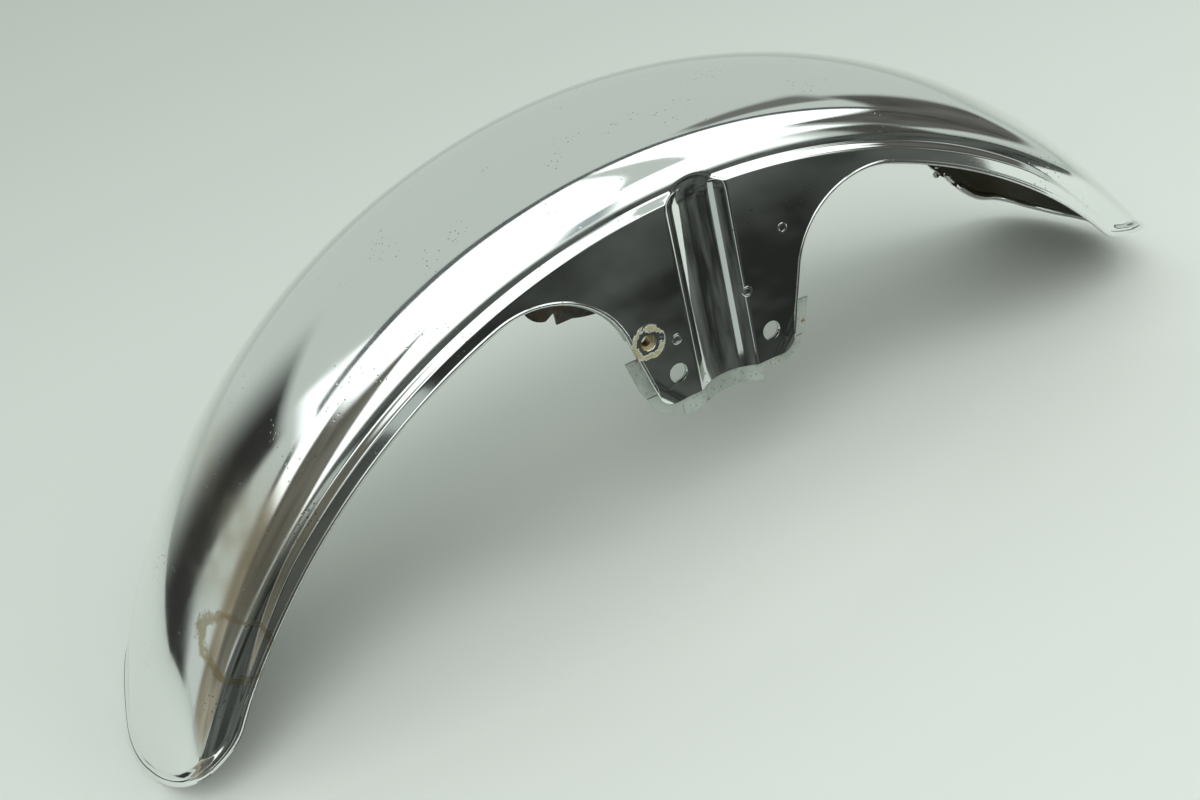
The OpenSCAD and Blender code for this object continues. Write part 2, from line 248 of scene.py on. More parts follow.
def guardHalf(g, left):
    inner, startAngle, outer = guardColumns(g)
    lower = steps(*g["lowerRows"])          # the plate's lower edge, or the rim, to the band's top
    ledge = np.linspace(g["ledgeFrom"], g["ledgeTop"], g["ledgeRows"])
    shoulder = steps(*g["shoulderRows"])[1:]
    arch = steps(*g["archRows"])[1:]
    share = rowShares(lower, ledge, shoulder, arch, g)
    middle = np.arcsin(inner / g["rimRadius"])[:, None] * np.ones_like(share)
    rear, front = (startAngle + (endAngle(side, share, left, g)[None, :] - startAngle)
                   * outer[side][:, None] for side in (-1, 1))
    angle = np.concatenate([-rear[::-1], middle, front])
    rimX0 = g["rimRadius"] * np.sin(angle)
    turned = smoothStep(*g["turning"], np.abs(rimX0))

    def onAxleCircle(radius, pick):
        # where a column crosses a circle about the axle
        upright, radial = rimX0[:, pick], radius * np.sin(angle[:, pick])
        x = (1 - turned[:, pick]) * upright + turned[:, pick] * radial
        return x, np.sqrt(radius**2 - x**2)

    x, z = np.empty_like(angle), np.empty_like(angle)
    half = np.full_like(angle, g["skirtHalf"])
    onLower = slice(0, len(lower))
    onLedge = slice(len(lower), len(lower) + len(ledge))
    rest = slice(len(lower) + len(ledge), None)

    low, rimX = plateLowerEdge(rimX0[:, 0], g)
    onPlate = (np.abs(rimX0[:, 0]) < rimX - 1e-6)[:, None]
    lowerRadius = g["rimRadius"] + g["bandTop"] * lower[None, :] * np.ones((len(angle), 1))
    x[:, onLower], bandZ = onAxleCircle(lowerRadius, onLower)
    # rows of the upright plates: level well above the lower edge and gathered close along it,
    # by (d + sqrt(d^2 + 4w^2)) / 2 of the height d above that edge
    onPlates, inHollow = g["gather"]
    w = (onPlates + inHollow * smoothStep(*g["gatherRun"], np.abs(rimX0[:, 0])))[:, None]
    above = g["plateLow"] + (bandZ[:, -1:] - g["plateLow"]) * lower[None, :] - low[:, None]
    gathered = (above + np.sqrt(above**2 + 4 * w * w)) / 2
    gathered = (gathered - gathered[:, :1]) / (gathered[:, -1:] - gathered[:, :1])
    z[:, onLower] = np.where(onPlate, low[:, None] + (bandZ[:, -1:] - low[:, None]) * gathered,
                             bandZ)
    x[:, onLedge], z[:, onLedge] = onAxleCircle(ledge[None, :], onLedge)

    ledgeX, ledgeZ = onAxleCircle(g["ledgeTop"], rest)
    ledgeOwn = np.hypot(ledgeX, ledgeZ - g["crownUp"])
    own, wide = np.empty_like(ledgeOwn), np.empty_like(ledgeOwn)
    # towards the ends the arc gets shorter and the shoulder softer
    softer = smoothStep(*g["softening"], np.degrees(np.abs(angle[:, :1])))
    archTurn = np.radians(g["archHalf"] - g["endSoftening"] * softer)
    n = len(shoulder)
    own[:, :n], wide[:, :n] = shoulderCurve(ledgeOwn[:, :n], archTurn, shoulder[None, :], g)
    turn = archTurn * (1 - arch)[None, :]
    own[:, n:] = g["crownRadius"] - g["archRadius"] + g["archRadius"] * np.cos(turn)
    wide[:, n:] = g["archRadius"] * np.sin(turn)
    a = angle[:, rest]
    reach = g["crownUp"] * np.cos(a) + np.sqrt(own**2 - (g["crownUp"] * np.sin(a)) ** 2)
    x[:, rest] = (1 - turned[:, rest]) * rimX0[:, rest] + turned[:, rest] * reach * np.sin(a)
    z[:, rest] = g["crownUp"] + np.sqrt(own**2 - x[:, rest] ** 2)
    half[:, rest] = wide
    return np.stack([x, -half, z], axis=-1)


def surfaceNormals(points):
    # outward normals of the grid: across rows times along columns
    normals = unit(np.cross(np.gradient(points, axis=1), np.gradient(points, axis=0)))
    return normals * np.sign(normals[points.shape[0] // 2, points.shape[1] // 2, 2])


def distanceToEnds(base):
    # distance to each trimmed end, measured only in the columns near it
    nearColumns, samples, farAway = 34, 700, 500.0
    toEnd = np.full(base.shape[:2], farAway)
    for cut, edge in ((slice(0, nearColumns), base[0]), (slice(-nearColumns, None), base[-1])):
        at = np.linspace(0, len(edge) - 1, samples)
        dense = np.stack([np.interp(at, np.arange(len(edge)), edge[:, k]) for k in range(3)],
                         axis=-1)
        near = base[cut].reshape(-1, 1, 3)
        gap = np.sqrt(((near - dense[None, :, :]) ** 2).sum(-1)).min(axis=1)
        toEnd[cut] = gap.reshape(toEnd[cut].shape)
    return toEnd


def guardSurface(g):
    right, left = guardHalf(g, False), guardHalf(g, True)
    mirror = np.array([1, -1, 1])
    base = np.concatenate([right, left[:, -2::-1] * mirror], axis=1)
    # the middle line is shared, so both halves' ends meet there
    base[:, right.shape[1] - 1] = (right[:, -1] + left[:, -1] * mirror) / 2
    x, y, z = base[..., 0], base[..., 1], base[..., 2]
    # the ledge runs along the rim and round the trimmed ends; y tells the sides from the crown
    toEnd = distanceToEnds(base)
    toRim = np.where(np.abs(y) > 50, np.hypot(x, z) - g["rimRadius"], 60.0)
    toEdge = softMin(toRim, toEnd, g["borderCorner"])
    ledgeAt = (g["endLedgeAt"]
               + (g["ledgeAt"] - g["endLedgeAt"]) * smoothStep(*g["ledgeRun"], toEnd))
    height = g["endLift"] + (g["bandLift"] - g["endLift"]) * smoothStep(*g["liftRun"], toEnd)
    lift = height * smoothStep(-1, 1, (ledgeAt - toEdge) / g["ledgeSoft"])
    # a small convex swelling across each lower corner of the fork plates
    cornerX, cornerZ, r, _ = plateCorner(g)
    out, down = g["bulgeWay"]
    across = (np.abs(x) - cornerX) * out - (z - cornerZ) * down - g["bulgeInset"]
    swelling = g["cornerBulge"] * np.sin(np.pi * np.clip(across / (r - g["bulgeInset"]), 0, 1))
    lift = lift + swelling * (np.abs(y) > 60) * (z < g["bulgeBelow"])
    points = base + surfaceNormals(base) * lift[..., None]
    recessHalf, recessHigh = g["recessReach"]
    recess = (np.abs(x) < recessHalf) & (z < recessHigh) & (np.abs(y) > 40)
    pressed = softMin(np.abs(points[..., 1]), recessHalfWidth(x, z, g), g["recessSoft"])
    points[..., 1] = np.where(recess, np.sign(y) * pressed, points[..., 1])
    return points


holes = {
    "boltRadius": 4.5,
    "boltGap": 50.0,
    "boltUp": 228.6,
    "stayRadius": 3.7,
    "stayPlace": (-36.3, 248.8),
    "rings": (0.72, 0.48, 0.28, 0.12, 0.03, 0.0),       # from the block's outline to the hole
    "margin": 1.6,              # of the block round the hole
    "marginBelow": 1.0,
    "brokenEdge": 0.15,
    "clearRows": 30,            # next to the middle, which no hole comes near
}


def ringPatch(points, rowsAcross, place, radius, h):
    # a square block of cells round a hole, given back as its corners and as rings of new points
    # that go from the block's outline to the hole's circle, in step with the outline's angles
    x, z = points[:, rowsAcross, 0], points[:, rowsAcross, 2]
    margin = radius + h["margin"]
    c0 = np.flatnonzero(x[:, 0] < place[0] - margin)[-1]
    c1 = np.flatnonzero(x[:, 0] > place[0] + margin)[0]
    below = z[c0:c1 + 1].max(axis=0) < place[1] - radius - h["marginBelow"]
    above = z[c0:c1 + 1].min(axis=0) > place[1] + margin
    r0, r1 = sorted((rowsAcross[np.flatnonzero(below)[-1]], rowsAcross[np.flatnonzero(above)[0]]))
    c, r = np.arange(c0, c1 + 1), np.arange(r0, r1 + 1)
    loop = np.concatenate([np.stack([c, np.full(len(c), r0)], -1),
                           np.stack([np.full(len(r) - 1, c1), r[1:]], -1),
                           np.stack([c[-2::-1], np.full(len(c) - 1, r1)], -1),
                           np.stack([np.full(len(r) - 2, c0), r[-2:0:-1]], -1)])
    outline = points[loop[:, 0], loop[:, 1]]
    away = outline[:, [0, 2]] - np.array(place)
    turn = np.unwrap(np.arctan2(away[:, 1], away[:, 0]))
    way = np.sign(turn[-1] - turn[0])
    even = turn[0] + way * 2 * np.pi * np.arange(len(turn)) / len(turn)
    turn = (turn + even) / 2
    circle = outline.copy()
    circle[:, 0] = place[0] + radius * np.cos(turn)
    circle[:, 2] = place[1] + radius * np.sin(turn)
    circle[:, 1] = np.sign(outline[:, 1]) * (guard["skirtHalf"] + guard["bandLift"])
    rings = np.stack([circle + (outline - circle) * k for k in h["rings"]])
    rings[-1, :, 1] -= np.sign(circle[:, 1]) * h["brokenEdge"]
    return (c0, c1, r0, r1), loop, rings


def outerSheet(points, normals, h):
    # the outer side with its holes: points, normals, faces, and each hole's loop of point numbers
    rows, columns = points.shape[:2]
    index = np.arange(rows * columns).reshape(rows, columns)
    cells = np.ones((rows - 1, columns - 1), dtype=bool)
    allPoints, allNormals = [points.reshape(-1, 3)], [normals.reshape(-1, 3)]
    around, loops = [], []
    start = rows * columns
    clear = h["clearRows"]
    rightSide = np.arange(0, columns // 2 - clear)
    leftSide = np.arange(columns - 1, columns // 2 + clear, -1)
    spots = [(side, (way * h["boltGap"] / 2, h["boltUp"]), h["boltRadius"])
             for side in (rightSide, leftSide) for way in (-1, 1)]
    spots.append((rightSide, h["stayPlace"], h["stayRadius"]))
    for side, place, radius in spots:
        (c0, c1, r0, r1), loop, rings = ringPatch(points, side, place, radius, h)
        cells[c0:c1, r0:r1] = False
        n = len(loop)
        added = start + np.arange(len(rings) * n).reshape(-1, n)
        numbers = np.concatenate([index[loop[:, 0], loop[:, 1]][None], added])
        wrapped = np.concatenate([numbers, numbers[:, :1]], axis=1)
        around.append(np.stack([wrapped[:-1, :-1], wrapped[:-1, 1:],
                                wrapped[1:, 1:], wrapped[1:, :-1]], -1).reshape(-1, 4))
        loops.append(numbers[-1][::-1])
        sideways = [0, np.sign(rings[0, 0, 1]), 0]
        allPoints.append(rings.reshape(-1, 3))
        allNormals.append(np.broadcast_to(sideways, rings.shape).reshape(-1, 3))
        start += len(rings) * n
    faces = np.concatenate([gridFaces(index)[cells]] + around)
    rim = np.concatenate([index[:, 0], index[-1, 1:], index[-2::-1, -1], index[0, -2:0:-1]])
    return np.concatenate(allPoints), np.concatenate(allNormals), faces, [rim] + loops


def makeGuardShell(g, h):
    points = guardSurface(g)
    normals = surfaceNormals(points)
    outerPoints, outerNormals, outerFaces, loops = outerSheet(points, normals, h)
    # turn the faces so that they look outwards
    a, b, c = (outerPoints[outerFaces[:, k]] for k in range(3))
    facing = (np.cross(b - a, c - b) * outerNormals[outerFaces[:, 0]]).sum(-1)
    outerFaces = np.where((facing < 0)[:, None], outerFaces[:, ::-1], outerFaces)
    # the inner side lies one sheet inwards, and walls close the rim and the holes
    start = len(outerPoints)
    innerFaces = outerFaces[:, ::-1] + start
    walls = []
    for loop in loops:
        after = np.roll(loop, -1)
        walls.append(np.stack([loop, after, after + start, loop + start], -1))
    walls = np.concatenate(walls)
    both = np.concatenate([outerPoints, outerPoints - outerNormals * g["sheet"]])
    faces = np.concatenate([outerFaces, innerFaces, walls])
    slots = np.zeros(len(faces))
    slots[len(outerFaces):len(outerFaces) + len(innerFaces)] = 1
    # drop the points under the holes
    keep = np.zeros(len(both), dtype=bool)
    keep[faces.ravel()] = True
    renumber = np.cumsum(keep) - 1
    piece = meshFromArrays("guardShell", both[keep], renumber[faces].tolist(), slots)
    work = bmesh.new()
    work.from_mesh(piece.data)
    bmesh.ops.recalc_face_normals(work, faces=work.faces)
    work.to_mesh(piece.data)
    work.free()
    piece.data.set_sharp_from_angle(angle=np.radians(g["creaseAngle"]))
    return piece, points, normals


shellPiece, shellPoints, shellNormals = makeGuardShell(guard, holes)
print("guard shell", len(shellPiece.data.polygons), "faces")

lip = {
    "rimRadius": 1.5,
    "endRadius": 2.0,
    "endReach": (3, 40),        # from the end, over which it gets that thick
    "plateRadius": 0.95,
    "plateToRim": (0.26, 0.36), # sine of the angle round the axle where the thickness changes
    "rimFrom": 290,             # farther than this from the axle is rim, nearer is plate
    "proud": 0.4,
    "inward": 0.75,             # share of the radius by which it sits in from the edge
    "widest": 68.85,            # half width over the rolls
    "fade": 7,                  # length over which it fades out at its two ends
    "thinnest": 0.05,
    "shortest": 0.25,           # closer points along it are left out
    "startX": 35.0,             # from there towards each end
    "sides": 14,
}


def edgeRoll(name, columns, h):
    # a round bar along the sheet's edge: down from a corner of the fork plate, along the hollow and
    # the rim, round the trimmed end and back up the other side
    points, normals = shellPoints, shellNormals
    last = points.shape[1] - 1
    end = columns[-1]
    inwardStep = -1 if end > points.shape[0] // 2 else 1
    # column, row, and the step in each that leads into the sheet
    right = [(i, 0, 0, 1) for i in columns]
    around = [(end, j, inwardStep, 0) for j in range(1, last)]
    left = [(i, last, 0, -1) for i in columns[::-1]]
    path = np.array(right + around + left)
    place = points[path[:, 0], path[:, 1]]
    normal = normals[path[:, 0], path[:, 1]]
    gaps = np.linalg.norm(np.diff(place, axis=0), axis=1)
    keep = np.concatenate([[True], gaps > h["shortest"]])
    path, place, normal = path[keep], place[keep], normal[keep]
    ahead = unit(np.gradient(place, axis=0))
    normal = unit(normal - ahead * (normal * ahead).sum(-1, keepdims=True))
    inward = unit(np.cross(normal, ahead))
    inside = points[path[:, 0] + path[:, 2] * 2, path[:, 1] + path[:, 3] * 2] - place
    inward = inward * np.sign((inward * inside).sum(-1, keepdims=True))
    # thin along the plates, thicker along the rim, thickest round the end
    fromAxle = np.hypot(place[:, 0], place[:, 2])
    onRim = smoothStep(*h["plateToRim"], np.abs(place[:, 0]) / fromAxle) * (fromAxle > h["rimFrom"])
    toEnd = np.linalg.norm(place[:, None] - points[end, ::6][None], axis=-1).min(axis=1)
    thicker = (h["endRadius"] - h["rimRadius"]) * (1 - smoothStep(*h["endReach"], toEnd))
    full = h["rimRadius"] + thicker
    radius = h["plateRadius"] + (full - h["plateRadius"]) * onRim
    gaps = np.linalg.norm(np.diff(place, axis=0), axis=1)
    length = np.concatenate([[0], np.cumsum(gaps)])
    fade = smoothStep(0, h["fade"], length) * smoothStep(0, h["fade"], length[-1] - length)
    radius = np.maximum(radius * fade, h["thinnest"])
    centre = (place + inward * radius[:, None] * h["inward"]
              + normal * (h["proud"] * fade - radius)[:, None])
    n = h["sides"]
    turn = np.linspace(0, 2 * np.pi, n, endpoint=False)[None, :, None]
    ring = np.cos(turn) * normal[:, None, :] + np.sin(turn) * inward[:, None, :]
    tube = centre[:, None, :] + ring * radius[:, None, None]
    tube[..., 1] = np.clip(tube[..., 1], -h["widest"], h["widest"])
    index = np.arange(len(tube) * n).reshape(-1, n)
    faces = gridFaces(np.concatenate([index, index[:, :1]], axis=1)).reshape(-1, 4)
    caps = [index[0].tolist(), index[-1][::-1].tolist()]
    tube = tube.reshape(-1, 3)
    piece = meshFromArrays(name, tube, faces.tolist() + caps)
    # outward faces: compare one face with its bar's centre
    a, b, c = tube[faces[0, :3]]
    if np.dot(np.cross(b - a, c - b), a - centre[0]) < 0:
        piece.data.flip_normals()
    return piece


edgeX = shellPoints[:, 0, 0]
rearColumns = np.flatnonzero(edgeX < -lip["startX"])[::-1].tolist()
frontColumns = np.flatnonzero(edgeX > lip["startX"]).tolist()
rearRoll = edgeRoll("edgeRollRear", rearColumns, lip)
frontRoll = edgeRoll("edgeRollFront", frontColumns, lip)
print("edge rolls made")


# Materials
def newMaterial(name):
    material = bpy.data.materials.new(name)
    material.use_nodes = True
    material.node_tree.nodes.clear()
    return material, material.node_tree


def connect(tree, value, socket):
    # a link where the value is another node's output, else the value itself
    if isinstance(value, bpy.types.NodeSocket):
        tree.links.new(value, socket)
    else:
        socket.default_value = value


def addNode(tree, kind, inputs=None, **settings):
    # one node, with its settings and with values or links for its inputs
    node = tree.nodes.new("ShaderNode" + kind)
    for key, value in settings.items():
        setattr(node, key, value)
    for key, value in (inputs or {}).items():
        connect(tree, value, node.inputs[key])
    return node


def objectPlace(tree):
    return addNode(tree, "TexCoord").outputs["Object"]


def ramp(tree, value, low, high):
    # a smooth 0 to 1 between two values of a mask
    return addNode(tree, "MapRange", {"Value": value, "From Min": low, "From Max": high},
                   interpolation_type="SMOOTHSTEP").outputs[0]


def mixColor(tree, fac, a, b):
    return addNode(tree, "Mix", {0: fac, 6: a, 7: b}, data_type="RGBA").outputs[2]


def mathNode(tree, operation, a, b=0.0):
    return addNode(tree, "Math", {0: a, 1: b}, operation=operation).outputs[0]


def plus(tree, total, *others):
    for other in others:
        total = mathNode(tree, "ADD", total, other)
    return total


def minus(tree, a, b):
    return mathNode(tree, "SUBTRACT", a, b)


def times(tree, a, b):
    return mathNode(tree, "MULTIPLY", a, b)


def lineAt(tree, value, middle, low, high):
    # 1 where a mask is within low of a middle value, falling to 0 where it is high away from it
    away = mathNode(tree, "ABSOLUTE", minus(tree, value, middle))
    return minus(tree, 1.0, ramp(tree, away, low, high))


def finishSurface(tree, color, rough, metallic, height, strength):
    # the shader with its bump; the height is in metres
    bump = addNode(tree, "Bump", {"Height": height, "Strength": strength, "Distance": 1.0})
    shader = addNode(tree, "BsdfPrincipled", {"Base Color": color, "Roughness": rough,
                                              "Metallic": metallic, "Normal": bump.outputs[0]})
    out = addNode(tree, "OutputMaterial")
    tree.links.new(shader.outputs[0], out.inputs[0])


def newGroup(name, inputs, outputs):
    # a group that takes a place and some numbers, and gives masks and other numbers
    group = bpy.data.node_groups.new(name, "ShaderNodeTree")
    group.interface.new_socket("Vector", in_out="INPUT", socket_type="NodeSocketVector")
    for label, value in inputs:
        kind = "NodeSocketVector" if isinstance(value, tuple) else "NodeSocketFloat"
        socket = group.interface.new_socket(label, in_out="INPUT", socket_type=kind)
        socket.default_value = value
    for label in outputs:
        group.interface.new_socket(label, in_out="OUTPUT", socket_type="NodeSocketFloat")
    given = group.nodes.new("NodeGroupInput").outputs
    return group, given, group.nodes.new("NodeGroupOutput").inputs


def useGroup(tree, group, **inputs):
    return addNode(tree, "Group", inputs, node_tree=group).outputs


def makeScratches():
    # two crossing sets of fine scratches: noise stretched along one way, with only its peaks kept
    group, given, result = newGroup("fineScratches", [("Density", 0.5)], ["Mask"])
    masks = []
    for turn, stretch in (((0.0, 0.62, 0.0), (34.0, 260.0, 1500.0)),
                          ((0.25, -0.5, 0.1), (60.0, 400.0, 2100.0))):
        place = addNode(group, "Mapping", {"Vector": given["Vector"], "Rotation": turn,
                                           "Scale": stretch})
        noise = addNode(group, "TexNoise", {"Vector": place.outputs[0], "Scale": 1.0,
                                            "Detail": 2.0, "Distortion": 0.4})
        low = minus(group, 0.86, times(group, given["Density"], 0.24))
        peaks = ramp(group, minus(group, noise.outputs["Fac"], low), 0.0, 0.06)
        masks.append(times(group, peaks, 0.8))
    group.links.new(mathNode(group, "MAXIMUM", *masks), result["Mask"])
    return group


def makeSpecks():
    # small round pits: cells whose centres are close, kept only where a second noise allows them
    group, given, result = newGroup("smallPits", [("Size", 0.16), ("Amount", 0.5)],
                                    ["Mask", "Height"])
    cells = addNode(group, "TexVoronoi", {"Vector": given["Vector"], "Scale": 420.0,
                                          "Randomness": 1.0})
    patch = addNode(group, "TexNoise", {"Vector": given["Vector"], "Scale": 46.0, "Detail": 3.0})
    share = mathNode(group, "DIVIDE", cells.outputs["Distance"], given["Size"])
    dot = minus(group, 1.0, ramp(group, share, 0.5, 1.0))
    low = minus(group, 0.78, times(group, given["Amount"], 0.32))
    allowed = ramp(group, minus(group, patch.outputs["Fac"], low), 0.0, 0.05)
    mask = times(group, dot, allowed)
    group.links.new(mask, result["Mask"])
    group.links.new(times(group, mask, -1.0), result["Height"])
    return group


def makeBlotches():
    # cloudy patches of two sizes
    group, given, result = newGroup("cloudyPatches", [("Scale", 18.0)], ["Mask", "Fine"])
    large = addNode(group, "TexNoise", {"Vector": given["Vector"], "Scale": given["Scale"],
                                        "Detail": 3.0, "Roughness": 0.6})
    finer = times(group, given["Scale"], 9.0)
    small = addNode(group, "TexNoise", {"Vector": given["Vector"], "Scale": finer,
                                        "Detail": 3.0, "Roughness": 0.65})
    group.links.new(ramp(group, large.outputs["Fac"], 0.42, 0.68), result["Mask"])
    group.links.new(small.outputs["Fac"], result["Fine"])
    return group


def makeNear():
    # 1 at a place and 0 beyond a radius, and the distance as a share of that radius
    group, given, result = newGroup("nearPlace", [("Place", (0.0, 0.0, 0.0)), ("Radius", 0.01),
                                                  ("Soft", 0.5)], ["Mask", "Distance"])
    gap = addNode(group, "VectorMath", {0: given["Vector"], 1: given["Place"]},
                  operation="DISTANCE")
    far = mathNode(group, "DIVIDE", gap.outputs["Value"], given["Radius"])
    inner = minus(group, 1.0, given["Soft"])
    mask = addNode(group, "MapRange", {"Value": far, "From Min": inner, "From Max": 1.0,
                                       "To Min": 1.0, "To Max": 0.0},
                   interpolation_type="SMOOTHSTEP")
    group.links.new(mask.outputs[0], result["Mask"])
    group.links.new(far, result["Distance"])
    return group


scratchGroup, speckGroup = makeScratches(), makeSpecks()
patchGroup, nearGroup = makeBlotches(), makeNear()

chromeLook = {
    "plate": (0.86, 0.88, 0.87, 1),
    "gloss": 0.02,
    "scratches": 0.55,
    "scratchRough": 0.20,
    "pitSize": 0.24,
    "pitAmount": 0.62,
    "pitColor": (0.20, 0.20, 0.18, 1),
    "pitCover": 0.55,
    "cloudScale": 16.0,
    "cloudRough": 0.035,
    "grainRough": 0.08,
    "squash": 0.35,             # of Y, so that the stains reach farther across than along
    "stain": (0.47, 0.39, 0.23, 1),
    "stainPlace": (-0.222, 0.005, 0.004),
    "stainSize": 0.052,
    "stainRough": 0.22,
    "ringPlace": (-0.2450, 0.001, -0.036),
    "ringSize": 0.0155,
    "ringWobble": 0.5,
    "ringLine": (0.86, 0.03, 0.16),         # where on the radius, full width, outer width
    "ringCover": 0.75,
    "residue": (0.36, 0.33, 0.17, 1),       # old sealant round the stay hole
    "residueRough": 0.5,
    "residueSize": 0.0088,
    "residueWobble": 0.9,
    "residueLine": (0.80, 0.07, 0.17),
    "residueBroken": (0.38, 0.50),
    "stayPlace": (-0.0363, 0.0, 0.0202),
    "weldPlaces": ((-2.2, 291.2), (39.1, 274.5), (-22.5, 244.8), (16.3, 252.2)),
    "weldSize": 0.0032,
    "weldLine": (0.62, 0.05, 0.22),
    # heights in metres
    "pitDepth": 0.00002,
    "grainHeight": 0.0000045,
    "waveHeight": 0.00022,
    "residueHeight": 0.0002,
    "weldHeight": 0.00012,
}


def makeChrome(look):
    material, tree = newMaterial("chromePlate")
    at = objectPlace(tree)
    scratches = useGroup(tree, scratchGroup, Vector=at, Density=look["scratches"])
    pits = useGroup(tree, speckGroup, Vector=at, Size=look["pitSize"], Amount=look["pitAmount"])
    clouds = useGroup(tree, patchGroup, Vector=at, Scale=look["cloudScale"])
    # a stain with a ring beside it at the rear end
    squash = (1.0, look["squash"], 1.0)
    flat = addNode(tree, "Mapping", {"Vector": at, "Scale": squash}).outputs[0]
    stain = useGroup(tree, nearGroup, Vector=flat, Place=np.multiply(look["stainPlace"], squash),
                     Radius=look["stainSize"], Soft=0.9)
    ring = useGroup(tree, nearGroup, Vector=flat, Place=np.multiply(look["ringPlace"], squash),
                    Radius=look["ringSize"], Soft=0.5)
    wobble = times(tree, minus(tree, clouds["Fine"], 0.5), look["ringWobble"])
    ringLine = lineAt(tree, plus(tree, ring["Distance"], wobble), *look["ringLine"])
    patchy = plus(tree, 0.25, times(tree, clouds["Mask"], 0.5))
    dirt = mathNode(tree, "MAXIMUM", times(tree, stain["Mask"], patchy),
                    times(tree, ringLine, look["ringCover"]))
    # the residue's ring is broken up by a noise
    stay = useGroup(tree, nearGroup, Vector=at, Place=look["stayPlace"],
                    Radius=look["residueSize"], Soft=0.1)
    broken = addNode(tree, "TexNoise", {"Vector": at, "Scale": 150.0, "Detail": 4.0,
                                        "Roughness": 0.7}).outputs["Fac"]
    wobble = times(tree, minus(tree, broken, 0.5), look["residueWobble"])
    outer = lineAt(tree, plus(tree, stay["Distance"], wobble), *look["residueLine"])
    residue = times(tree, outer, ramp(tree, broken, *look["residueBroken"]))
    color = mixColor(tree, dirt, look["plate"], look["stain"])
    color = mixColor(tree, times(tree, pits["Mask"], look["pitCover"]), color, look["pitColor"])
    color = mixColor(tree, residue, color, look["residue"])
    rough = plus(tree, times(tree, clouds["Mask"], look["cloudRough"]),
                 times(tree, clouds["Fine"], look["grainRough"]),
                 times(tree, scratches["Mask"], look["scratchRough"]),
                 times(tree, dirt, look["stainRough"]),
                 times(tree, residue, look["residueRough"]), look["gloss"])
    # ring marks of the spot welds
    marks = None
    for x, z in look["weldPlaces"]:
        place = (x / 1000, 0.0, (z + axleToPart[2]) / 1000)
        weld = useGroup(tree, nearGroup, Vector=at, Place=place, Radius=look["weldSize"], Soft=0.4)
        mark = lineAt(tree, weld["Distance"], *look["weldLine"])
        marks = mark if marks is None else mathNode(tree, "MAXIMUM", marks, mark)
    waves = addNode(tree, "TexNoise", {"Vector": at, "Scale": 11.0, "Detail": 2.0}).outputs["Fac"]
    height = plus(tree, times(tree, pits["Height"], look["pitDepth"]),
                  times(tree, clouds["Fine"], look["grainHeight"]),
                  times(tree, waves, look["waveHeight"]),
                  times(tree, residue, look["residueHeight"]),
                  times(tree, marks, look["weldHeight"]))
    metallic = minus(tree, 1.0, times(tree, residue, 0.8))
    finishSurface(tree, color, rough, metallic, height, 1.0)
    return material


innerLook = {
    "steel": (0.060, 0.060, 0.042, 1),
    "rust": (0.060, 0.048, 0.028, 1),
    "pitColor": (0.14, 0.13, 0.10, 1),
    "pitCover": 0.6,
    "rough": (0.42, 0.3),       # least, and more with the grain
    "metallic": 0.55,
    "grainHeight": 0.00008,
    "pitDepth": 0.00006,
}


def makeInner(look):
    material, tree = newMaterial("innerSide")
    at = objectPlace(tree)
    clouds = useGroup(tree, patchGroup, Vector=at, Scale=22.0)
    pits = useGroup(tree, speckGroup, Vector=at, Size=0.3, Amount=0.8)
    color = mixColor(tree, clouds["Mask"], look["steel"], look["rust"])
    color = mixColor(tree, times(tree, pits["Mask"], look["pitCover"]), color, look["pitColor"])
    least, more = look["rough"]
    rough = plus(tree, least, times(tree, clouds["Fine"], more))
    height = plus(tree, times(tree, clouds["Fine"], look["grainHeight"]),
                  times(tree, pits["Height"], look["pitDepth"]))
    finishSurface(tree, color, rough, look["metallic"], height, 0.7)
    return material


dullLook = {
    "steel": (0.52, 0.57, 0.52, 1),
    "shade": (0.20, 0.23, 0.21, 1),
    "shadeCover": 0.45,
    "scratchCover": 0.4,
    "rust": (0.20, 0.085, 0.035, 1),
    # the far stiffener's steel and rust below are the same colours made much darker: painted shade,
    # because that stiffener lies in shade
    "shadedFarSteel": (0.040, 0.036, 0.030, 1),
    "shadedFarRust": (0.085, 0.048, 0.028, 1),
    "pitColor": (0.05, 0.035, 0.02, 1),
    "pitCover": 0.3,
    "rough": (0.36, 0.18, 0.3),     # least, more with the grain, more on rust
    "metallic": 0.55,               # none on rust
    "grainHeight": 0.00012,
    "rustHeight": 0.00015,
    "pitDepth": 0.0001,
}


def makeDull(name, look, steel, flake, rustFrom):
    material, tree = newMaterial(name)
    at = objectPlace(tree)
    clouds = useGroup(tree, patchGroup, Vector=at, Scale=60.0)
    scratches = useGroup(tree, scratchGroup, Vector=at, Density=0.8)
    pits = useGroup(tree, speckGroup, Vector=at, Size=0.35, Amount=0.9)
    flakes = addNode(tree, "TexNoise", {"Vector": at, "Scale": 130.0, "Detail": 6.0,
                                        "Roughness": 0.72})
    rust = ramp(tree, flakes.outputs["Fac"], rustFrom, rustFrom + 0.05)
    shade = times(tree, clouds["Mask"], look["shadeCover"])
    scratched = times(tree, scratches["Mask"], look["scratchCover"])
    color = mixColor(tree, shade, steel, look["shade"])
    color = mixColor(tree, scratched, color, look["shade"])
    color = mixColor(tree, rust, color, flake)
    color = mixColor(tree, times(tree, pits["Mask"], look["pitCover"]), color, look["pitColor"])
    least, withGrain, withRust = look["rough"]
    rough = plus(tree, least, plus(tree, times(tree, clouds["Fine"], withGrain),
                                   times(tree, rust, withRust)))
    height = plus(tree, times(tree, clouds["Fine"], look["grainHeight"]),
                  times(tree, rust, look["rustHeight"]),
                  times(tree, pits["Height"], look["pitDepth"]))
    metallic = minus(tree, look["metallic"], times(tree, rust, look["metallic"]))
    finishSurface(tree, color, rough, metallic, height, 0.8)
    return material


